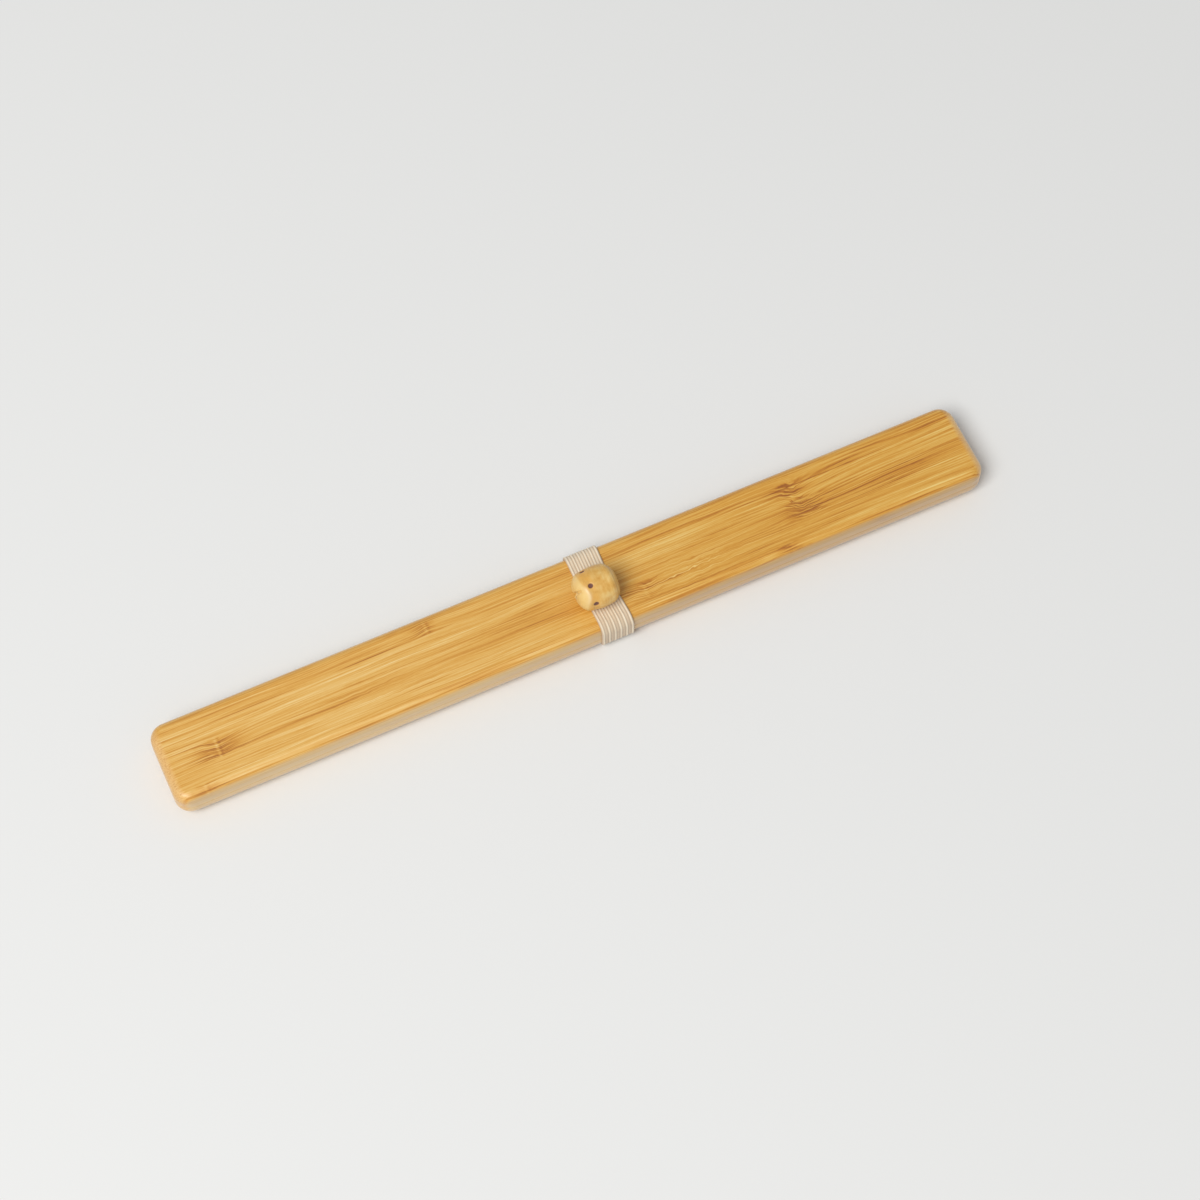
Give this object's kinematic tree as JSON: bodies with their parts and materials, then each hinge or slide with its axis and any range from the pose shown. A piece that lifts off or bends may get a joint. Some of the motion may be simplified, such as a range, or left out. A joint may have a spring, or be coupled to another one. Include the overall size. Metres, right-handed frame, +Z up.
{
  "type": "bamboo chopstick case with chopsticks",
  "caption": "Slim rounded bamboo travel case that holds a pair of tapered chopsticks, shut by a flat woven elastic band with a barrel-shaped root bead.",
  "frame": {"origin": "under the middle of the closed case, in the plane that the underside of the elastic band rests on", "axes": "+X along the case towards the heads of the chopsticks, -Y towards the front long side, +Z up through the lid and the bead"},
  "size_m": [0.25, 0.0274, 0.0243],
  "materials": {
    "case_bamboo": "honey-brown laminated bamboo, oiled to a satin, with long fibres, glue lines and knots",
    "stick_bamboo": "plain bamboo, sanded smooth, satin",
    "dowel_wood": "turned dowel wood, matt",
    "woven_elastic": "cream woven elastic with lengthwise ribs, matt",
    "root_bamboo": "golden polished bamboo root with dark root scars, satin gloss",
    "sewing_thread": "twisted natural thread, matt"
  },
  "bodies": {
    "root": {"case_base": "case_bamboo", "case_lid": "case_bamboo", "locating_dowel_left": "dowel_wood", "locating_dowel_right": "dowel_wood", "chopstick_front": "stick_bamboo", "chopstick_back": "stick_bamboo", "elastic_band": "woven_elastic", "root_bead": "root_bamboo", "bead_thread": "sewing_thread"}
  },
  "joints": []
}
